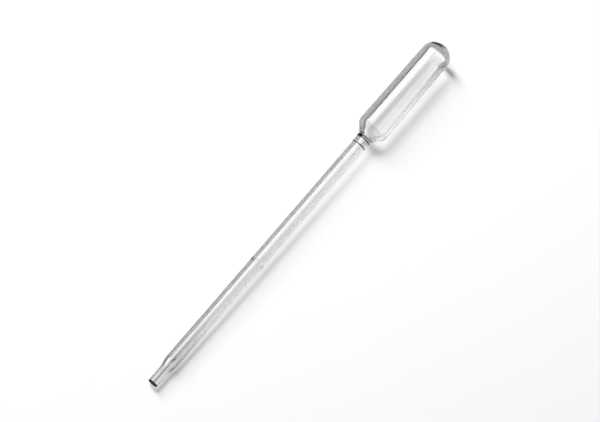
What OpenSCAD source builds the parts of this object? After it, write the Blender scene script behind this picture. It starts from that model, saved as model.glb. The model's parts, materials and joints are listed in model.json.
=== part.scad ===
// Dropper pipette, blown in one piece from soft clear polyethylene: a tip with a fine bore, a long stem
// with one graduation ring, a collar, and a squeeze bulb with a closed dome. It is hollow all through.
// Its wall is one closed half section, drawn up from the tip's end and turned round its own axis.
// The tube is then laid down as it comes to rest, on the start of the stem and the bulb's shoulder.

/* [Overall] */
// Length from the tip's end to the top of the dome
overall_length = 155; // [130:1:200]
// Depth of the small flats that the soft wall takes where it lies on the bench
flat_depth = 0.08; // [0.01:0.01:0.15]

/* [Tip] */
// Outer diameter of the tip's straight tube
tip_diameter = 3.6; // [2.8:0.1:4.4]
// Length of the tip's straight tube
tip_length = 5.5; // [3:0.1:15]
// Length over which the tip swells out to the stem
swell_length = 5.5; // [3:0.1:12]
// Diameter of the tip's bore
tip_bore = 0.6; // [0.4:0.05:1.8]
// Radius of the rounded outer edge at the tip's end
rim_round = 0.25; // [0.1:0.05:0.4]

/* [Stem] */
// Outer diameter of the stem
stem_diameter = 5; // [4.6:0.02:6.5]
// Wall of the stem
stem_wall = 1.2; // [0.3:0.05:1.3]
// Distance of the graduation ring from the tip's end
ring_position = 54.9; // [20:0.1:90]
// Width of the graduation ring
ring_width = 0.7; // [0.3:0.05:1.5]
// Height of the graduation ring above the stem
ring_height = 0.1; // [0.03:0.01:0.3]

/* [Neck] */
// How far the collar stands out from the stem all round
collar_height = 0.08; // [0.04:0.01:0.4]
// Length of the collar, from its step to the root of the shoulder
collar_length = 3.6; // [2:0.1:8]
// Width of the ring near the collar's upper end
root_ring_width = 0.8; // [0.5:0.05:1.1]
// Height of that ring above the collar
root_ring_height = 0.15; // [0.03:0.01:0.3]
// Distance from that ring to the root of the shoulder
root_ring_gap = 0.35; // [0.05:0.05:0.8]

/* [Bulb] */
// Length of the bulb, from the root of the shoulder to the top of the dome
bulb_length = 42.8; // [30:0.1:70]
// Outer diameter of the bulb at its widest, where the shoulder ends
bulb_diameter = 11.3; // [9:0.01:16]
// Outer diameter of the bulb where the dome starts
bulb_end_diameter = 10.7; // [8:0.01:16]
// Wall of the bulb
bulb_wall = 1.95; // [0.3:0.05:2.4]
// Slope of the shoulder against the axis, in degrees
shoulder_slope = 40; // [25:1:60]
// Outer radius of the shoulder's round edge
shoulder_round = 4.2; // [2.6:0.1:4.4]
// Height of the dome
dome_height = 5.05; // [3.2:0.05:8]
// Wall at the top of the dome, where the bulb was pinched shut
dome_wall = 2.8; // [0.3:0.05:3]

/* [Hidden] */

// Places along the axis, from the tip's end upwards
swell_start = tip_length;
stem_start = tip_length + swell_length;
root_place = overall_length - bulb_length;
collar_start = root_place - collar_length;
root_ring_place = root_place - root_ring_gap - root_ring_width / 2;

// Outer radii, and those of the bore in the tip and in the stem
tip_radius = tip_diameter / 2;
stem_radius = stem_diameter / 2;
collar_radius = stem_radius + collar_height;
bulb_radius = bulb_diameter / 2;
dome_radius = bulb_end_diameter / 2;
tip_bore_radius = tip_bore / 2;
bore_radius = stem_radius - stem_wall;

// The round edge of the shoulder is an arc about this point; the cone below it runs down to the collar
round_centre = bulb_radius - shoulder_round;
cone_rise = round_centre + shoulder_round * cos(shoulder_slope) - collar_radius;
widest_place = root_place + cone_rise / tan(shoulder_slope) + shoulder_round * sin(shoulder_slope);
dome_start = overall_length - dome_height;

// The cavity's cone lies a bulb's wall inside the outer cone, so it meets the stem's bore further up
throat_place = root_place + bulb_wall / sin(shoulder_slope)
    + (bore_radius - collar_radius) / tan(shoulder_slope);

// Lying down, the axis rises towards the bulb. The bench touches the arc that ends the tip's swell and
// the shoulder's arc, so its angle to the axis is that of the line which grazes them both.
swell_round = bend_radius(stem_radius - tip_radius, swell_length);
swell_centre = stem_radius - swell_round;
lay_run = widest_place - stem_start;
lay_rise = round_centre - swell_centre;
lay_angle = atan2(lay_rise, lay_run)
    + asin((shoulder_round - swell_round) / norm([lay_run, lay_rise]));

// Where the ends come to lie: the tip's axis above the bench, and both ends along the bench
tip_height = swell_round + swell_centre * cos(lay_angle) - stem_start * sin(lay_angle) - flat_depth;
near_end = rim_round * (cos(lay_angle) - 1) - (tip_radius - rim_round) * sin(lay_angle);
far_end = dome_start * cos(lay_angle)
    + norm([dome_height * cos(lay_angle), dome_radius * sin(lay_angle)]);

// Steps along an arc, a small edge's or ring's arc and the dome, and faces round the tube
arc_steps = 10;
small_steps = 6;
dome_steps = 20;
turn_faces = 128;

// A point of an arc about [radius, place], where the surface slopes at this angle to the axis
function arc_point(centre, radius, slope) =
    [centre[0] + radius * cos(slope), centre[1] - radius * sin(slope)];

// An arc about this point, from one slope to another
function arc(centre, radius, from, to, steps) =
    [for (i = [0 : steps]) arc_point(centre, radius, from + (to - from) * i / steps)];

// A swell is a gentle S: two equal arcs that meet half way. How far each turns, and its radius
function bend_turn(rise, length) = 2 * atan2(rise, length);
function bend_radius(rise, length) = length / (2 * sin(bend_turn(rise, length)));

// The swell from one radius up to another, starting at this place
function swell(from, to, start, length) =
    let (half_turn = bend_turn(to - from, length))
    let (bend = bend_radius(to - from, length))
    concat(
        [for (i = [0 : arc_steps])
            let (a = half_turn * i / arc_steps)
            [from + bend * (1 - cos(a)), start + bend * sin(a)]],
        [for (i = [arc_steps - 1 : -1 : 0])
            let (a = half_turn * i / arc_steps)
            [to - bend * (1 - cos(a)), start + length - bend * sin(a)]]);

// The shoulder's round edge, set in from the outer surface by this much
function shoulder(inset) =
    arc([round_centre, widest_place], shoulder_round - inset, shoulder_slope, 0, arc_steps);

// Half of a dome of this radius and height
function dome(radius, height) =
    [for (i = [0 : dome_steps])
        let (a = 90 * i / dome_steps)
        [radius * cos(a), dome_start + height * sin(a)]];

// A ring's low rounded bead: an arc over its width
function bead(radius, middle, width, height) =
    let (bend = (width * width / 4 + height * height) / (2 * height))
    let (reach = asin(width / (2 * bend)))
    arc([radius + height - bend, middle], bend, reach, -reach, small_steps);

outer_line = concat(
    arc([tip_radius - rim_round, rim_round], rim_round, 90, 0, small_steps),
    swell(tip_radius, stem_radius, swell_start, swell_length),
    bead(stem_radius, ring_position, ring_width, ring_height),
    [[stem_radius, collar_start], [collar_radius, collar_start]],
    bead(collar_radius, root_ring_place, root_ring_width, root_ring_height),
    [[collar_radius, root_place]],
    shoulder(0),
    dome(dome_radius, dome_height));

cavity_line = concat(
    [[tip_bore_radius, 0]],
    swell(tip_bore_radius, bore_radius, swell_start, swell_length),
    [[bore_radius, throat_place]],
    shoulder(bulb_wall),
    dome(dome_radius - bulb_wall, dome_height - dome_wall));

function reversed(line) = [for (i = [len(line) - 1 : -1 : 0]) line[i]];

// The blown wall, standing on the tip's end with its axis upright
module blown_wall() {
    rotate_extrude($fn = turn_faces)
        polygon(concat(outer_line, reversed(cavity_line)));
}

// Everything below the bench's top, where the flats are pressed
module bench() {
    depth = 2 * flat_depth;
    translate([-overall_length, -bulb_diameter, -depth])
        cube([2 * overall_length, 2 * bulb_diameter, depth]);
}

// Laid down: the tip points along -X, and both ends are as far from the origin
module pipette() {
    color([0.9, 0.91, 0.92, 0.45])
        difference() {
            translate([-(near_end + far_end) / 2, 0, tip_height])
                rotate([0, 90 - lay_angle, 0])
                    blown_wall();
            bench();
        }
}

pipette();
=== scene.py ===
"""Dropper pipette, blown in one piece from clear polyethylene, lying on a pale bench."""
import json
import logging
import math
from dataclasses import dataclass
from enum import Enum

import bmesh
import bpy
from mathutils import Matrix, Vector


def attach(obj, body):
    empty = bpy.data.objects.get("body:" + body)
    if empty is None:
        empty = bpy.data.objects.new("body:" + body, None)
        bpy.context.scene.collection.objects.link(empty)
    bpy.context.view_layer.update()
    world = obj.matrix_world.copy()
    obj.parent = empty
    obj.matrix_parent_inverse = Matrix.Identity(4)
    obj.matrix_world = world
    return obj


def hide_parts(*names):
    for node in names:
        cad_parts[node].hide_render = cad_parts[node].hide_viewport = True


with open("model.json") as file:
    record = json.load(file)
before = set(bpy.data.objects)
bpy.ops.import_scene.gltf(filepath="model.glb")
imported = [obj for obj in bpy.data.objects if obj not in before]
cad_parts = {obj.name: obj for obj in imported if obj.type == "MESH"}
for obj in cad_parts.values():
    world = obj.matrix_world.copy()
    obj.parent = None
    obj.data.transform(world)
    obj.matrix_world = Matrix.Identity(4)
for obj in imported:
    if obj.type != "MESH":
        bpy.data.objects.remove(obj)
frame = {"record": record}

LOG = logging.getLogger("dropper_pipette")
NODE = "pipette"
MM = 0.001
TINY = 1e-6
UPRIGHT = Vector((0.0, 0.0, 1.0))
SIDEWAYS = Vector((0.0, 1.0, 0.0))
WHITE = (1.0, 1.0, 1.0, 1.0)
Stops = tuple[tuple[float, float], ...]


class Layer(Enum):
    """What is written on the wall's mesh, for the plastic to read."""

    OUTSIDE = "outside"
    BAND = "band"
    # How strongly the painted grey band (painted shade) is painted
    BAND_SHADE = "band_shade"
    # Painted shade, with the dark strokes round the dome's top
    PAINTED_SHADE_AND_MARKS = "painted_shade_and_marks"
    SHADE = "shade"
    RIM = "rim"


def smooth(value: float, start: float, stop: float) -> float:
    """Climbs a smooth step, which may also run downwards.

    Args:
        value: Where on the step to look.
        start: Value at which it is 0.
        stop: Value at which it is 1.

    Returns:
        The height there, from 0 to 1.
    """
    share = min(max((value - start) / (stop - start), 0.0), 1.0)
    return share * share * (3.0 - 2.0 * share)


def piecewise(place: float, stops: Stops) -> float:
    """Reads a value off straight lines between stops.

    Args:
        place: Where to read it.
        stops: Pairs of a place and the value there, in rising order.

    Returns:
        The value, which is even before the first stop and past the last.
    """
    for (start, first), (stop, last) in zip(stops, stops[1:]):
        if place <= stop:
            return first + (last - first) * max(place - start, 0.0) / (stop - start)
    return stops[-1][1]


class OutlinePen:
    """Draws a half section in the XZ plane: X is the radius, Z the place along the axis."""

    def __init__(self, bm: bmesh.types.BMesh, radius: float, place: float) -> None:
        """Starts a line.

        Args:
            bm: The mesh it is drawn in.
            radius: Distance of the first point from the axis.
            place: Place of the first point along the axis.
        """
        self.bm = bm
        self.older = set(bm.verts)
        self.point = bm.verts.new((radius, 0.0, place))

    def line(self, radius: float, place: float, steps: int = 1) -> "OutlinePen":
        """Draws a straight stretch.

        Args:
            radius: Radius of its end.
            place: Place of its end along the axis.
            steps: Number of edges it is drawn with.

        Returns:
            The pen itself.
        """
        start, end = self.point.co.copy(), Vector((radius, 0.0, place))
        for step in range(1, steps + 1):
            grown = bmesh.ops.extrude_vert_indiv(self.bm, verts=[self.point])
            self.point = grown["verts"][0]
            self.point.co = start.lerp(end, step / steps)
        return self

    def arc(self, radius: float, place: float, turn: float, steps: int,
            squash: float = 1.0) -> "OutlinePen":
        """Draws an arc from the point the pen is on.

        Args:
            radius: Radius of the arc's centre.
            place: Place of the arc's centre along the axis.
            turn: Degrees it turns through; above 0 is from the axis's direction outwards.
            steps: Number of edges it is drawn with.
            squash: How much the arc is flattened along the axis about its centre.

        Returns:
            The pen itself.
        """
        centre = Vector((radius, 0.0, place))
        first, before = self.point, set(self.bm.verts)
        first.co.z = place + (first.co.z - place) / squash
        swept = bmesh.ops.spin(self.bm, geom=[first], cent=centre, axis=SIDEWAYS,
                               angle=math.radians(turn), steps=steps)
        self.point = next(v for v in swept["geom_last"] if isinstance(v, bmesh.types.BMVert))
        drawn = [v for v in self.bm.verts if v not in before] + [first]
        bmesh.ops.scale(self.bm, vec=(1.0, 1.0, squash), verts=drawn,
                        space=Matrix.Translation(-centre))
        return self

    def turned(self, steps: int, outside: float) -> None:
        """Spins what this pen has drawn into a surface about the axis.

        Args:
            steps: Number of faces round the axis.
            outside: What the new faces' "outside" layer holds, 1 outside and 0 in the cavity.
        """
        verts = [v for v in self.bm.verts if v not in self.older]
        edges = dict.fromkeys(e for v in verts for e in v.link_edges)
        there = set(self.bm.faces)
        bmesh.ops.spin(self.bm, geom=[*verts, *edges], cent=(0.0, 0.0, 0.0), axis=UPRIGHT,
                       angle=math.tau, steps=steps, use_merge=True)
        layer = self.bm.faces.layers.float[Layer.OUTSIDE.value]
        for face in self.bm.faces:
            if face not in there:
                face[layer] = outside


@dataclass(frozen=True)
class Rows:
    """How many rows of faces the wall's stretches get, and faces round the axis."""

    turn: int = 192
    dome: int = 48
    cavity_dome: int = 32
    shoulder: int = 14
    bead: int = 12
    swell: int = 10
    rim: int = 6
    stem: int = 48
    low_stem: int = 40
    bulb: int = 24
    fine: int = 8
    few: int = 4


@dataclass(frozen=True)
class BlownPipette:
    """The pipette's blown wall. Sizes are in millimetres, on the wall as it stands on its tip.

    The painted shade of the plastic changes fast near the tip's end, the swell and the collar's
    step, so short stretches there (`end_rows`, `swell_rows`, `step_rows`) have closer rows of
    faces.
    """

    overall_length: float = 155.0
    tip_diameter: float = 3.6
    tip_length: float = 5.5
    swell_length: float = 5.5
    tip_bore: float = 0.6
    rim_round: float = 0.25
    stem_diameter: float = 5.0
    stem_wall: float = 1.2
    ring_position: float = 54.9
    ring_width: float = 0.7
    ring_height: float = 0.1
    collar_height: float = 0.08
    collar_length: float = 3.6
    root_ring_width: float = 0.8
    root_ring_height: float = 0.15
    root_ring_gap: float = 0.35
    bulb_length: float = 42.8
    bulb_diameter: float = 11.3
    bulb_end_diameter: float = 10.7
    bulb_wall: float = 1.95
    shoulder_slope: float = 40.0
    shoulder_round: float = 4.2
    dome_height: float = 5.05
    dome_wall: float = 2.8
    rows: Rows = Rows()
    end_rows: float = 1.0
    swell_rows: float = 2.0
    step_rows: float = 0.4
    merge_gap: float = 0.002
    sharp_edge: float = 25.0

    @property
    def root(self) -> float:
        """Place of the root of the shoulder along the axis."""
        return self.overall_length - self.bulb_length

    @property
    def collar_start(self) -> float:
        """Place of the collar's step along the axis."""
        return self.root - self.collar_length

    @property
    def root_ring(self) -> float:
        """Place of the middle of the ring near the collar's upper end."""
        return self.root - self.root_ring_gap - self.root_ring_width / 2

    @property
    def dome_start(self) -> float:
        """Place where the dome starts along the axis."""
        return self.overall_length - self.dome_height

    @property
    def slope(self) -> float:
        """Slope of the shoulder against the axis, in radians."""
        return math.radians(self.shoulder_slope)

    @property
    def collar(self) -> float:
        """Radius of the collar."""
        return self.stem_diameter / 2 + self.collar_height

    @property
    def middle(self) -> float:
        """Radius of the centre of the shoulder's round edge."""
        return self.bulb_diameter / 2 - self.shoulder_round

    @property
    def widest(self) -> float:
        """Place where the shoulder ends and the bulb is widest."""
        rise = self.middle + self.shoulder_round * math.cos(self.slope) - self.collar
        return (self.root + rise / math.tan(self.slope)
                + self.shoulder_round * math.sin(self.slope))

    def _turn_outside(self, bm: bmesh.types.BMesh) -> None:
        """Draws the outside from the dome down to the tip's bore, and turns it.

        Args:
            bm: The wall's mesh.
        """
        stem, tip, end = self.stem_diameter / 2, self.tip_diameter / 2, self.bulb_end_diameter / 2
        swell_end, rows = self.tip_length + self.swell_length, self.rows
        pen = OutlinePen(bm, 0.0, self.overall_length)
        pen.arc(0.0, self.dome_start, 90, rows.dome, squash=self.dome_height / end)
        pen.line(self.bulb_diameter / 2, self.widest, rows.bulb)
        pen.arc(self.middle, self.widest, self.shoulder_slope, rows.shoulder)
        pen.line(self.collar, self.root, rows.fine)
        pen.line(self.collar, self.root_ring + self.root_ring_width / 2, rows.few)
        self._bead(pen, self.collar, self.root_ring, self.root_ring_width, self.root_ring_height)
        pen.line(self.collar, self.collar_start, rows.bulb)
        pen.line(stem, self.collar_start)
        pen.line(stem, self.collar_start - self.step_rows, rows.few)
        pen.line(stem, self.ring_position + self.ring_width / 2, rows.stem)
        self._bead(pen, stem, self.ring_position, self.ring_width, self.ring_height)
        pen.line(stem, swell_end + self.swell_rows, rows.low_stem)
        pen.line(stem, swell_end, rows.fine)
        self._swell(pen, stem, tip, down=True)
        pen.line(tip, self.end_rows, rows.few)
        pen.line(tip, self.rim_round, rows.fine)
        pen.arc(tip - self.rim_round, self.rim_round, 90, rows.rim)
        pen.line(self.tip_bore / 2, 0.0)
        pen.turned(rows.turn, 1.0)

    def _turn_cavity(self, bm: bmesh.types.BMesh) -> None:
        """Draws the bore and the cavity from the tip up to the dome, and turns them.

        Args:
            bm: The wall's mesh.
        """
        bore, tip_bore = self.stem_diameter / 2 - self.stem_wall, self.tip_bore / 2
        end, rows = self.bulb_end_diameter / 2 - self.bulb_wall, self.rows
        inner = self.shoulder_round - self.bulb_wall
        throat = (self.root + self.bulb_wall / math.sin(self.slope)
                  + (bore - self.collar) / math.tan(self.slope))
        pen = OutlinePen(bm, tip_bore, 0.0)
        pen.line(tip_bore, self.tip_length, rows.few)
        self._swell(pen, bore, tip_bore, down=False)
        pen.line(bore, throat, rows.stem)
        pen.line(self.middle + inner * math.cos(self.slope),
                 self.widest - inner * math.sin(self.slope), rows.few)
        pen.arc(self.middle, self.widest, -self.shoulder_slope, rows.shoulder)
        pen.line(end, self.dome_start, rows.bulb)
        pen.arc(0.0, self.dome_start, -90, rows.cavity_dome,
                squash=(self.dome_height - self.dome_wall) / end)
        pen.turned(rows.turn, 0.0)

    def _bead(self, pen: OutlinePen, radius: float, middle: float, width: float,
              height: float) -> None:
        """Draws a ring's low rounded bead, from the end where the pen is down to the other.

        Args:
            pen: The pen, at the bead's upper end.
            radius: Radius that the bead stands on.
            middle: Place of its middle along the axis.
            width: Its width.
            height: Its height.
        """
        half = width / 2
        bend = (half * half + height * height) / (2 * height)
        reach = math.degrees(math.asin(half / bend))
        pen.arc(radius + height - bend, middle, 2 * reach, self.rows.bead)

    def _swell(self, pen: OutlinePen, wide: float, narrow: float, down: bool) -> None:
        """Draws the gentle S between the tip's tube and the stem.

        Args:
            pen: The pen, at the start of the swell.
            wide: Radius at the stem.
            narrow: Radius at the tip.
            down: Whether the pen comes down from the stem.
        """
        turn = 2 * math.degrees(math.atan2(wide - narrow, self.swell_length))
        bend = self.swell_length / (2 * math.sin(math.radians(turn)))
        upper = (wide - bend, self.tip_length + self.swell_length)
        lower = (narrow + bend, self.tip_length)
        first, second = (upper, lower) if down else (lower, upper)
        pen.arc(*first, turn, self.rows.swell).arc(*second, -turn, self.rows.swell)

    def laid(self) -> Matrix:
        """Works out how the wall comes to lie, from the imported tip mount's axis.

        Returns:
            The matrix from the upright wall in millimetres to the frame in metres.
        """
        mount = next(m for m in frame["record"]["mounts"] if m["name"] == "tip_bore")
        along = -Vector(mount["axis"]).normalized()
        end = Vector(mount["pos_m"]) - along * mount["dims"]["length_mm"] * MM / 2
        turn = UPRIGHT.rotation_difference(along).to_matrix().to_4x4()
        return Matrix.Translation(end) @ turn @ Matrix.Scale(MM, 4)

    def build(self, look: "WallLook") -> bpy.types.Object:
        """Turns the half section about its axis and lays the wall down.

        Args:
            look: Writes the layers that the plastic reads.

        Returns:
            The wall's object, which takes the part's place.
        """
        bm = bmesh.new()
        bm.faces.layers.float.new(Layer.OUTSIDE.value)
        self._turn_outside(bm)
        self._turn_cavity(bm)
        bmesh.ops.remove_doubles(bm, verts=bm.verts, dist=self.merge_gap)
        bmesh.ops.recalc_face_normals(bm, faces=bm.faces)
        look.write(bm, self)
        for edge in bm.edges:
            edge.smooth = edge.calc_face_angle(0.0) < math.radians(self.sharp_edge)
        for face in bm.faces:
            face.smooth = True
        bmesh.ops.transform(bm, matrix=self.laid(), verts=bm.verts)
        for vert in bm.verts:
            vert.co.z = max(vert.co.z, 0.0)
        mesh = bpy.data.meshes.new("blown_wall")
        bm.to_mesh(mesh)
        bm.free()
        wall = bpy.data.objects.new("blown_wall", mesh)
        bpy.context.scene.collection.objects.link(wall)
        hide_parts(NODE)
        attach(wall, "root")
        return wall


@dataclass(frozen=True)
class Mark:
    """A soft-edged stroke on the outside, from one angle and place to another.

    Angles are in degrees round the axis, places and widths in millimetres along it. The stroke is
    even up to the half width `core`, and ends a further `soft` out and `fade` degrees beyond.
    """

    start: float
    first: float
    stop: float
    last: float
    core: float
    soft: float
    light: float
    fade: float

    def share(self, place: float, angle: float) -> float:
        """Looks up how much light the stroke lets past at a spot.

        Args:
            place: Its place along the axis.
            angle: Its degrees round the axis.

        Returns:
            The share of light, 1 where the stroke doesn't reach.
        """
        along = (angle - self.start) / (self.stop - self.start)
        middle = self.first + (self.last - self.first) * along
        depth = smooth(abs(place - middle), self.core + self.soft, self.core)
        depth *= smooth(angle, self.start - self.fade, self.start)
        depth *= smooth(angle, self.stop + self.fade, self.stop)
        return 1.0 - (1.0 - self.light) * depth


@dataclass(frozen=True)
class WallLook:
    """How the wall's painted shade, in grey edge bands and dark lines, and its shadow change along
    and round the pipette.

    Stops are pairs of a place along the axis in millimetres and a value there. Lines are a half
    width, a soft edge's width and the share of light let past. The lit side is the one away from
    the camera; angles run round the axis from straight up towards the shaded side.
    """

    lit_side: tuple[float, float] = (-0.5, 0.1)
    band: Stops = (
        (0.0, 0.379), (6.0, 0.379), (11.0, 0.13), (60.0, 0.115), (106.0, 0.099), (112.0, 0.12),
        (114.0, 0.192), (148.5, 0.208), (150.4, 0.244), (150.8, 0.02), (155.0, 0.02))
    # Painted shade: how strongly the grey band is painted, on the lit side and on the shaded side
    lit_band_shade: Stops = (
        (0.0, 1.0), (8.0, 1.0), (12.0, 0.85), (30.0, 0.93), (60.0, 0.9), (108.0, 0.92),
        (113.0, 1.0), (155.0, 1.0))
    low_band_shade: Stops = (
        (0.0, 0.75), (8.0, 0.6), (14.0, 0.4), (24.0, 0.15), (60.0, 0.05), (108.0, 0.0),
        (114.0, 0.08), (126.0, 0.15), (140.0, 0.5), (148.0, 0.9), (150.4, 0.98))
    # Angle round the axis beyond which the shaded side gets painted shade
    turn: Stops = ((0.0, -1.0), (24.0, 5.0), (60.0, 17.0), (106.0, 18.0), (112.0, 18.0))
    turn_soft: float = 10.0
    # Painted shade over the outside on the shaded side, darker at the collar
    low_side_shade: Stops = (
        (0.0, 1.0), (8.0, 0.95), (14.0, 0.85), (24.0, 0.85), (60.0, 0.7), (106.0, 0.66),
        (108.5, 0.68), (108.8, 0.5), (111.0, 0.5), (112.0, 0.75), (114.0, 1.0), (126.0, 0.98),
        (147.3, 0.96), (148.0, 1.0))
    # Painted shade in the tip's bore: a dark line along its middle
    bore_shade: Stops = ((0.0, 0.65), (7.0, 0.65), (9.0, 1.0))
    # Painted dark lines of shade at the tip's cut end, the feet of the ring by the collar and the
    # collar's step
    end_shade_line: tuple[float, float, float] = (0.4, 0.2, 0.0)
    foot_shade_line: tuple[float, float, float] = (0.12, 0.15, 0.0)
    step_shade_line: tuple[float, float, float] = (0.14, 0.12, 0.0)
    shade_strokes_and_marks: tuple[Mark, ...] = (
        # Painted shade along the tip's middle, and a short dark stroke where the swell ends
        Mark(8.0, 3.4, 16.0, 3.4, 3.6, 1.0, 0.22, 3.0),
        Mark(10.0, 9.7, 22.0, 11.1, 0.5, 0.35, 0.05, 3.0),
        # Painted shade on the graduation ring, darkest at its lit edge
        Mark(-66.0, 54.9, -30.0, 54.6, 0.1, 0.2, 0.05, 4.0),
        Mark(-24.0, 54.58, 2.0, 54.5, 0.1, 0.25, 0.8, 5.0),
        # Painted shade on the far side of the ring by the shoulder, and soft painted shade above it
        Mark(-90.0, 111.6, -11.0, 111.45, 0.45, 0.2, 0.0, 5.0),
        Mark(-30.0, 115.0, 60.0, 114.6, 0.8, 0.8, 0.66, 10.0),
        Mark(22.0, 113.3, 60.0, 113.3, 0.6, 0.5, 0.68, 8.0),
        # Painted shade along and across the bulb: the bench's shadow seen through it, and its lit
        # side dimmed
        Mark(5.0, 131.5, 14.0, 131.5, 14.5, 1.5, 0.84, 7.0),
        Mark(1.0, 149.0, 6.0, 149.0, 1.7, 0.5, 0.78, 4.0),
        Mark(18.0, 147.2, 50.0, 147.2, 0.3, 0.35, 0.8, 6.0),
        Mark(-70.0, 134.0, -10.0, 134.0, 17.0, 1.5, 0.88, 8.0),
        # Dark strokes round the dome's top
        Mark(-46.0, 152.55, 0.0, 153.45, 0.45, 0.35, 0.0, 12.0),
        Mark(2.0, 153.8, 24.0, 153.85, 0.15, 0.3, 0.08, 10.0),
        Mark(-8.0, 152.95, 10.0, 152.8, 0.15, 0.25, 0.2, 8.0),
    )
    shade: Stops = (
        (0.0, 0.9), (11.0, 0.88), (30.0, 0.95), (60.0, 0.965), (106.0, 0.997), (111.9, 0.99),
        (112.5, 0.75), (113.9, 0.75), (114.5, 0.96), (130.0, 0.958), (144.0, 0.945),
        (148.5, 0.96), (150.5, 1.0))
    shadows: tuple[Mark, ...] = (
        Mark(5.0, 2.0, 120.0, 2.0, 5.0, 5.0, 0.45, 20.0),
        Mark(75.0, 151.25, 140.0, 151.5, 0.6, 0.5, 0.0, 20.0),
    )
    lit_rim: Stops = (
        (0.0, 0.4), (10.0, 0.5), (30.0, 0.75), (149.8, 0.75), (150.6, 0.92), (155.0, 0.92))
    low_rim: Stops = (
        (0.0, 0.7), (10.0, 0.35), (60.0, 0.32), (95.0, 0.6), (108.0, 0.7), (114.0, 0.35),
        (149.8, 0.35), (150.6, 0.85), (155.0, 0.85))

    def write(self, bm: bmesh.types.BMesh, form: BlownPipette) -> None:
        """Writes the layers on the upright wall.

        Args:
            bm: The wall's mesh, in millimetres and standing on its tip.
            form: The wall's sizes.
        """
        layers = {layer: bm.verts.layers.float.new(layer.value)
                  for layer in Layer if layer is not Layer.OUTSIDE}
        outside = bm.faces.layers.float[Layer.OUTSIDE.value]
        for vert in bm.verts:
            x, y, place = vert.co
            angle = math.degrees(math.atan2(-y, -x))
            lit = smooth(y / max(math.hypot(x, y), TINY), *self.lit_side)
            in_cavity = all(face[outside] < 0.5 for face in vert.link_faces)
            values = {
                Layer.BAND: piecewise(place, self.band),
                Layer.BAND_SHADE: self._between(place, self.low_band_shade, self.lit_band_shade, lit),
                Layer.RIM: self._between(place, self.low_rim, self.lit_rim, lit),
                Layer.SHADE: self._shade(place, angle),
                # Painted shade in the bore, or on the outside with the dark strokes round the
                # dome's top
                Layer.PAINTED_SHADE_AND_MARKS: (piecewise(place, self.bore_shade) if in_cavity
                             else self._shade_and_marks(place, angle, form)),
            }
            for layer, value in values.items():
                vert[layers[layer]] = value

    def _between(self, place: float, low: Stops, high: Stops, lit: float) -> float:
        """Works out a value that differs between the shaded side and the lit side.

        Args:
            place: The spot's place along the axis.
            low: Its stops on the shaded side.
            high: Its stops on the lit side.
            lit: How far the spot is on the lit side, from 0 to 1.

        Returns:
            The value at the spot.
        """
        start, stop = piecewise(place, low), piecewise(place, high)
        return start + (stop - start) * lit

    def _shade(self, place: float, angle: float) -> float:
        """Works out how much light a spot lets through to the bench.

        Args:
            place: Its place along the axis.
            angle: Its degrees round the axis.

        Returns:
            The share of light.
        """
        shade = piecewise(place, self.shade)
        for mark in self.shadows:
            shade *= mark.share(place, angle)
        return shade

    def _shade_and_marks(self, place: float, angle: float, form: BlownPipette) -> float:
        """Works out how much light the painted shade and dark strokes on the outside let in at a
        spot.

        Args:
            place: Its place along the axis.
            angle: Its degrees round the axis.
            form: The wall's sizes.

        Returns:
            The share of light, 1 where it is clear.
        """
        # Painted shade on the shaded side, painted dark lines and the strokes
        turn = piecewise(place, self.turn)
        low = smooth(angle, turn - self.turn_soft / 2, turn + self.turn_soft / 2)
        painted_shade_and_marks = 1.0 - (1.0 - piecewise(place, self.low_side_shade)) * low
        foot = abs(abs(place - form.root_ring) - form.root_ring_width / 2)
        for away, (core, soft, light) in ((place, self.end_shade_line), (foot, self.foot_shade_line),
                                          (abs(place - form.collar_start), self.step_shade_line)):
            painted_shade_and_marks *= 1.0 - (1.0 - light) * smooth(away, core + soft, core)
        for mark in self.shade_strokes_and_marks:
            painted_shade_and_marks *= mark.share(place, angle)
        return painted_shade_and_marks


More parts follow.
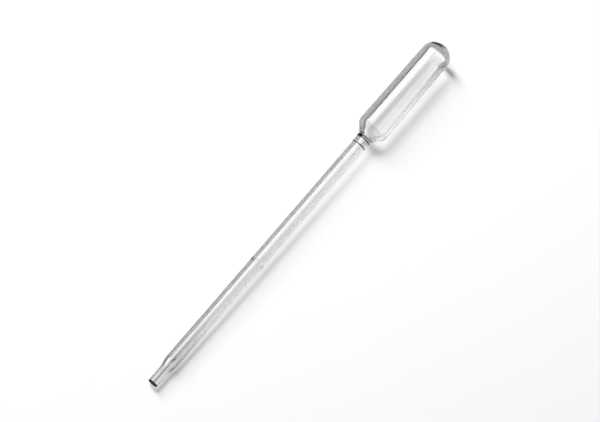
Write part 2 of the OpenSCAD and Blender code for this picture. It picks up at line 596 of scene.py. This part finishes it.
class Wiring:
    """Adds nodes to a tree and links them."""

    # The mix node's factor, its two colours and its mixed colour, which share names with others
    FACTOR, COLOUR_A, COLOUR_B, MIXED = 0, 6, 7, 2

    def __init__(self, tree: bpy.types.NodeTree) -> None:
        """Takes over the tree, which it empties."""
        self.tree = tree
        tree.nodes.clear()

    def add(self, kind: str, **settings: object) -> bpy.types.Node:
        """Adds a node.

        Args:
            kind: Blender's name of its type.
            **settings: Its properties and their values.

        Returns:
            The node.
        """
        node = self.tree.nodes.new(kind)
        for name, value in settings.items():
            setattr(node, name, value)
        return node

    def feed(self, socket: bpy.types.NodeSocket, source: object) -> None:
        """Links a socket to its source, or sets it.

        Args:
            socket: The socket.
            source: Another node's output, or a value.
        """
        if isinstance(source, bpy.types.NodeSocket):
            self.tree.links.new(source, socket)
        else:
            socket.default_value = source

    def read(self, layer: Layer) -> bpy.types.NodeSocket:
        """Reads one of the wall's layers."""
        return self.add("ShaderNodeAttribute", attribute_name=layer.value).outputs["Fac"]

    def sum(self, operation: str, first: object, second: object) -> bpy.types.NodeSocket:
        """Works out one sum of two values, each a socket or a number.

        Args:
            operation: Blender's name of the sum.
            first: The first value.
            second: The second value.

        Returns:
            The socket with the result.
        """
        node = self.add("ShaderNodeMath", operation=operation)
        self.feed(node.inputs[0], first)
        self.feed(node.inputs[1], second)
        return node.outputs[0]

    def inverse(self, value: object) -> bpy.types.NodeSocket:
        """Takes a value from 1."""
        return self.sum("SUBTRACT", 1.0, value)

    def product(self, first: object, second: object) -> bpy.types.NodeSocket:
        """Multiplies two values."""
        return self.sum("MULTIPLY", first, second)

    def blend(self, share: object, first: object, second: object) -> bpy.types.NodeSocket:
        """Mixes two colours.

        Args:
            share: How much of the second colour is in the mix.
            first: The first colour.
            second: The second colour.

        Returns:
            The socket with the mix.
        """
        node = self.add("ShaderNodeMix", data_type="RGBA")
        self.feed(node.inputs[self.FACTOR], share)
        self.feed(node.inputs[self.COLOUR_A], first)
        self.feed(node.inputs[self.COLOUR_B], second)
        return node.outputs[self.MIXED]

    def step(self, value: object, start: float, stop: float) -> bpy.types.NodeSocket:
        """Climbs a smooth step.

        Args:
            value: Where on the step to look.
            start: Value at which it is 0.
            stop: Value at which it is 1.

        Returns:
            The socket with the height there.
        """
        node = self.add("ShaderNodeMapRange", interpolation_type="SMOOTHSTEP")
        self.feed(node.inputs["Value"], value)
        node.inputs["From Min"].default_value = start
        node.inputs["From Max"].default_value = stop
        return node.outputs["Result"]

    def tones(self, value: object, stops: Stops) -> bpy.types.NodeSocket:
        """Reads a grey off a ramp.

        Args:
            value: Where on the ramp to look.
            stops: Pairs of a place on the ramp and the tone there.

        Returns:
            The socket with the grey.
        """
        node = self.add("ShaderNodeValToRGB")
        ramp = node.color_ramp.elements
        while len(ramp) < len(stops):
            ramp.new(1.0)
        for element, (place, tone) in zip(ramp, stops):
            element.position, element.color = place, (tone, tone, tone, 1.0)
        self.feed(node.inputs[0], value)
        return node.outputs[0]

    def straightness(self, normal: object = None) -> bpy.types.NodeSocket:
        """Works out how straight one looks along a normal.

        Args:
            normal: The normal, or None for the surface's own.

        Returns:
            The socket with the cosine of its angle to the line of sight.
        """
        weight = self.add("ShaderNodeLayerWeight")
        weight.inputs["Blend"].default_value = 0.5
        if normal is not None:
            self.feed(weight.inputs["Normal"], normal)
        return self.inverse(weight.outputs["Facing"])


def grain_group() -> bpy.types.NodeTree:
    """Finds or builds the node group of a fine, uneven surface.

    Returns:
        The group, which gives the surface's roughness and its height.
    """
    group = bpy.data.node_groups.get("surface grain")
    if group:
        return group
    group = bpy.data.node_groups.new("surface grain", "ShaderNodeTree")
    for name in ("Scale", "Smoothest", "Roughest"):
        group.interface.new_socket(name, in_out="INPUT", socket_type="NodeSocketFloat")
    for name in ("Roughness", "Height"):
        group.interface.new_socket(name, in_out="OUTPUT", socket_type="NodeSocketFloat")
    wiring = Wiring(group)
    given = wiring.add("NodeGroupInput")
    noise = wiring.add("ShaderNodeTexNoise")
    noise.inputs["Detail"].default_value = 3.0
    wiring.feed(noise.inputs["Vector"], wiring.add("ShaderNodeTexCoord").outputs["Object"])
    wiring.feed(noise.inputs["Scale"], given.outputs["Scale"])
    spread = wiring.add("ShaderNodeMapRange")
    wiring.feed(spread.inputs["Value"], noise.outputs[0])
    wiring.feed(spread.inputs["To Min"], given.outputs["Smoothest"])
    wiring.feed(spread.inputs["To Max"], given.outputs["Roughest"])
    result = wiring.add("NodeGroupOutput")
    wiring.feed(result.inputs["Roughness"], spread.outputs["Result"])
    wiring.feed(result.inputs["Height"], noise.outputs[0])
    return group


@dataclass(frozen=True)
class Grain:
    """How uneven a surface is: its scale for each metre, its roughness and its relief in metres."""

    scale: float
    smoothest: float
    roughest: float
    relief: float

    def wire(self, wiring: Wiring, shader: bpy.types.Node) -> bpy.types.NodeSocket:
        """Puts the relief on a shader.

        Args:
            wiring: The wiring of its material.
            shader: The shader.

        Returns:
            The roughness, still to be linked.
        """
        group = wiring.add("ShaderNodeGroup", node_tree=grain_group())
        for name, value in (("Scale", self.scale), ("Smoothest", self.smoothest),
                            ("Roughest", self.roughest)):
            group.inputs[name].default_value = value
        bump = wiring.add("ShaderNodeBump")
        bump.inputs["Strength"].default_value = 1.0
        bump.inputs["Distance"].default_value = self.relief
        wiring.feed(bump.inputs["Height"], group.outputs["Height"])
        wiring.feed(shader.inputs["Normal"], bump.outputs["Normal"])
        return group.outputs["Roughness"]


@dataclass(frozen=True)
class ClearPolyethylene:
    """Clear low-density polyethylene, with painted shade: a grey band where one looks through
    the wall's edge, painted by the angle one looks at.

    A spot's depth in the band is 1 where the band starts. There a painted dark line runs,
    `line_wide` deep and with edges `line_soft` deep, and the rest of the band has its own painted
    tone. Depths of the rim, which is what casts a shadow, are on the same scale.
    """

    name: str = "clear polyethylene"
    refraction: float = 1.51
    grain: Grain = Grain(220.0, 0.01, 0.03, 0.000003)
    band_tone: float = 0.145
    line_tone: float = 0.05
    line_wide: float = 0.31
    line_soft: float = 0.08
    deepest: float = 4.0
    least_across: float = 0.3
    rim_start: float = 0.875
    rim_stop: float = 1.376
    # Where the painted shade is near black the surface turns rough, up to `dark_roughness`
    rough_shade_span: tuple[float, float] = (0.35, 0.05)
    dark_roughness: float = 0.8

    def _depth(self, wiring: Wiring, outside: object, axis: Vector) -> bpy.types.NodeSocket:
        """Works out how deep in the painted grey band a spot lies.

        The band is as wide as on a tube seen from its side, from wherever one looks: the surface's
        straightness is divided by the share of the line of sight that runs across the axis.

        Args:
            wiring: The wiring of the material.
            outside: 1 on the outside and 0 in the cavity, which has no band.
            axis: The pipette's axis.

        Returns:
            The depth, 1 at the band's start.
        """
        turned = wiring.add("ShaderNodeVectorTransform", vector_type="VECTOR",
                            convert_from="OBJECT", convert_to="WORLD")
        turned.inputs[0].default_value = axis
        square = wiring.inverse(wiring.sum("POWER", wiring.straightness(turned.outputs[0]), 2.0))
        across = wiring.sum("POWER", wiring.sum("MAXIMUM", square, self.least_across ** 2), 0.5)
        edge = wiring.inverse(wiring.sum("DIVIDE", wiring.straightness(), across))
        return wiring.sum("DIVIDE", wiring.product(edge, outside), wiring.read(Layer.BAND))

    def _tint(self, wiring: Wiring, depth: object, front: object, outside: object,
              painted_shade_and_marks: object) -> bpy.types.NodeSocket:
        """Works out the plastic's colour, with the painted grey band and painted shade, which tints
        light only where it enters the wall.

        Args:
            wiring: The wiring of the material.
            depth: The spot's depth in the grey band.
            front: 1 on faces seen from their front, else 0.
            outside: 1 on the outside and 0 in the cavity.
            painted_shade_and_marks: The share of light that the painted dark lines and strokes let
                past.

        Returns:
            The colour.
        """
        # Painted shade: a ramp of greys for the band and its dark line, by the angle one looks at
        line_stop = 1.0 + self.line_wide
        stops = ((0.0, 1.0), (1.0 - self.line_soft, 1.0), (1.0, self.line_tone),
                 (line_stop, self.line_tone), (line_stop + self.line_soft, self.band_tone),
                 (self.deepest, self.band_tone))
        ramp = wiring.tones(wiring.product(depth, wiring.product(front, 1.0 / self.deepest)),
                            tuple((place / self.deepest, tone) for place, tone in stops))
        shaded_band = wiring.add("ShaderNodeVectorMath", operation="SCALE")
        wiring.feed(shaded_band.inputs[0], wiring.blend(wiring.read(Layer.BAND_SHADE), WHITE, ramp))
        wiring.feed(shaded_band.inputs["Scale"], painted_shade_and_marks)
        entering = wiring.sum("MAXIMUM", front, wiring.inverse(outside))
        return wiring.blend(entering, WHITE, shaded_band.outputs[0])

    def _shadow(self, wiring: Wiring, depth: object, diffuse: object) -> bpy.types.NodeSocket:
        """Builds what shadow rays and the bench's own rays pass through.

        Args:
            wiring: The wiring of the material.
            depth: The spot's depth in the grey band.
            diffuse: 1 for the bench's own rays, which aren't dimmed.

        Returns:
            The socket with a clear shader.
        """
        rim = wiring.step(depth, self.rim_start, self.rim_stop)
        dark = wiring.product(rim, wiring.inverse(wiring.read(Layer.RIM)))
        shade = wiring.product(wiring.inverse(dark), wiring.read(Layer.SHADE))
        clear = wiring.add("ShaderNodeBsdfTransparent")
        wiring.feed(clear.inputs["Color"], wiring.sum("MAXIMUM", shade, diffuse))
        return clear.outputs[0]

    def build(self, axis: Vector) -> bpy.types.Material:
        """Builds the node tree.

        Args:
            axis: The pipette's axis, which its edge bands run along.

        Returns:
            The material.
        """
        material = bpy.data.materials.new(self.name)
        material.use_nodes = True
        wiring = Wiring(material.node_tree)
        front = wiring.inverse(wiring.add("ShaderNodeNewGeometry").outputs["Backfacing"])
        outside, painted_shade_and_marks = wiring.read(Layer.OUTSIDE), wiring.read(Layer.PAINTED_SHADE_AND_MARKS)
        depth = self._depth(wiring, outside, axis)

        shader = wiring.add("ShaderNodeBsdfPrincipled")
        shader.inputs["Transmission Weight"].default_value = 1.0
        shader.inputs["IOR"].default_value = self.refraction
        # Where the painted shade is near black, the surface is rough as well
        dark = wiring.product(wiring.step(painted_shade_and_marks, *self.rough_shade_span), self.dark_roughness)
        rough = wiring.sum("MAXIMUM", wiring.product(dark, front), self.grain.wire(wiring, shader))
        wiring.feed(shader.inputs["Roughness"], rough)
        tint = self._tint(wiring, depth, front, outside, painted_shade_and_marks)
        wiring.feed(shader.inputs["Base Color"], tint)

        path = wiring.add("ShaderNodeLightPath").outputs
        shadow = self._shadow(wiring, depth, path["Is Diffuse Ray"])
        mix = wiring.add("ShaderNodeMixShader")
        wiring.feed(mix.inputs[0],
                    wiring.sum("MAXIMUM", path["Is Shadow Ray"], path["Is Diffuse Ray"]))
        wiring.feed(mix.inputs[1], shader.outputs[0])
        wiring.feed(mix.inputs[2], shadow)
        out = wiring.add("ShaderNodeOutputMaterial")
        wiring.feed(out.inputs["Surface"], mix.outputs[0])
        return material


@dataclass(frozen=True)
class Softbox:
    """A long softbox over the bench, parallel to the pipette.

    Its long edges are given by their degrees from straight up, above 0 to the back, and its short
    edges by their places along the pipette in metres. One that doesn't light the bench shows in
    the plastic, and one that does isn't seen there.
    """

    name: str
    low: float
    high: float
    start: float
    stop: float
    radiance: float
    lights_bench: bool = True
    far: float = 1.2

    def hang(self) -> None:
        """Hangs it in the scene."""
        middle = math.radians((self.low + self.high) / 2)
        half = math.radians(abs(self.high - self.low) / 2)
        back = Vector((0.0, math.sin(middle), math.cos(middle)))
        right = Vector((1.0, 0.0, 0.0))
        data = bpy.data.lights.new(self.name, "AREA")
        data.shape = "RECTANGLE"
        data.size, data.size_y = self.stop - self.start, 2 * self.far * math.tan(half)
        data.energy = self.radiance * math.pi * data.size * data.size_y
        lamp = bpy.data.objects.new(self.name, data)
        place = back * self.far + right * (self.start + self.stop) / 2
        turn = Matrix((right, back.cross(right), back)).transposed().to_4x4()
        lamp.matrix_world = Matrix.Translation(place) @ turn
        lamp.visible_diffuse = self.lights_bench
        lamp.visible_glossy = lamp.visible_transmission = not self.lights_bench
        bpy.context.scene.collection.objects.link(lamp)


@dataclass(frozen=True)
class Studio:
    """The bench, the soft light and the camera. Lengths are in metres, the lens in millimetres."""

    azimuth: float = -50.52
    elevation: float = 70.26
    distance: float = 1.5
    aim_above: float = 0.00064189
    lens: float = 266.4
    sensor: float = 36.0
    clip_end: float = 50.0
    room: float = 0.02
    walls: float = 0.5
    walls_end: tuple[float, float] = (0.4, 0.2)
    bench_half: float = 6.0
    bench_tone: float = 0.9
    bench_gloss: float = 0.2
    bench_grain: Grain = Grain(1800.0, 0.82, 0.95, 0.00002)
    softboxes: tuple[Softbox, ...] = (
        Softbox("key", 17.0, 37.0, 0.04, 0.44, 19.6),
        Softbox("low key", 37.0, 62.0, 0.04, 0.5, 11.3),
        Softbox("fill", -60.0, 60.0, -2.0, 2.0, 0.3),
        Softbox("strip", 18.0, 60.0, 0.18, 1.0, 1.15, lights_bench=False),
    )

    def camera(self, middle: Vector) -> None:
        """Aims the camera, so that the pipette comes to its place in the frame.

        Args:
            middle: The pipette's middle.
        """
        a, e = math.radians(self.azimuth), math.radians(self.elevation)
        back = Vector((math.sin(a) * math.cos(e), -math.cos(a) * math.cos(e), math.sin(e)))
        right = Vector((math.cos(a), math.sin(a), 0.0))
        up = back.cross(right)
        data = bpy.data.cameras.new("camera")
        data.lens, data.sensor_width = self.lens, self.sensor
        data.clip_end = self.clip_end
        camera = bpy.data.objects.new("camera", data)
        place = middle + up * self.aim_above + back * self.distance
        turn = Matrix((right, up, back)).transposed().to_4x4()
        camera.matrix_world = Matrix.Translation(place) @ turn
        bpy.context.scene.collection.objects.link(camera)
        bpy.context.scene.camera = camera

    def bench(self) -> None:
        """Lays the pale bench top."""
        bm = bmesh.new()
        bmesh.ops.create_grid(bm, x_segments=1, y_segments=1, size=self.bench_half)
        mesh = bpy.data.meshes.new("bench")
        bm.to_mesh(mesh)
        bm.free()
        bench = bpy.data.objects.new("bench", mesh)
        bpy.context.scene.collection.objects.link(bench)
        material = bpy.data.materials.new("white bench")
        material.use_nodes = True
        wiring = Wiring(material.node_tree)
        shader = wiring.add("ShaderNodeBsdfPrincipled")
        shader.inputs["Base Color"].default_value = (*[self.bench_tone] * 3, 1.0)
        shader.inputs["Specular IOR Level"].default_value = self.bench_gloss
        wiring.feed(shader.inputs["Roughness"], self.bench_grain.wire(wiring, shader))
        out = wiring.add("ShaderNodeOutputMaterial")
        wiring.feed(out.inputs["Surface"], shader.outputs[0])
        mesh.materials.append(material)

    def world(self) -> None:
        """Puts pale walls and a dim ceiling round the bench. They show in the plastic only."""
        world = bpy.data.worlds.new("room")
        bpy.context.scene.world = world
        world.use_nodes = True
        world.cycles_visibility.diffuse = False
        wiring = Wiring(world.node_tree)
        split = wiring.add("ShaderNodeSeparateXYZ")
        wiring.feed(split.inputs[0], wiring.add("ShaderNodeTexCoord").outputs["Generated"])
        walls = wiring.product(wiring.step(split.outputs["Z"], *self.walls_end), self.walls)
        background = wiring.add("ShaderNodeBackground")
        background.inputs["Color"].default_value = WHITE
        wiring.feed(background.inputs["Strength"], wiring.sum("ADD", walls, self.room))
        out = wiring.add("ShaderNodeOutputWorld")
        wiring.feed(out.inputs["Surface"], background.outputs[0])

    def light(self) -> None:
        """Hangs the softboxes and sets how far light is followed through the clear wall."""
        for softbox in self.softboxes:
            softbox.hang()
        self.world()
        scene = bpy.context.scene
        scene.view_settings.view_transform = "Standard"
        scene.cycles.blur_glossy = 0.0
        scene.cycles.max_bounces = 24
        scene.cycles.transmission_bounces = 20
        scene.cycles.glossy_bounces = 16
        scene.cycles.transparent_max_bounces = 16


def main() -> None:
    """Builds the pipette and its studio."""
    logging.basicConfig(level=logging.INFO, format="%(message)s")
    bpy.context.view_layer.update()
    form = BlownPipette()
    wall = form.build(WallLook())
    axis = (form.laid().to_3x3() @ UPRIGHT).normalized()
    wall.data.materials.append(ClearPolyethylene().build(axis))
    LOG.info("%s: %d faces", wall.name, len(wall.data.polygons))
    studio = Studio()
    studio.camera(form.laid() @ Vector((0.0, 0.0, form.overall_length / 2)))
    studio.bench()
    studio.light()


if __name__ == "__main__":
    main()
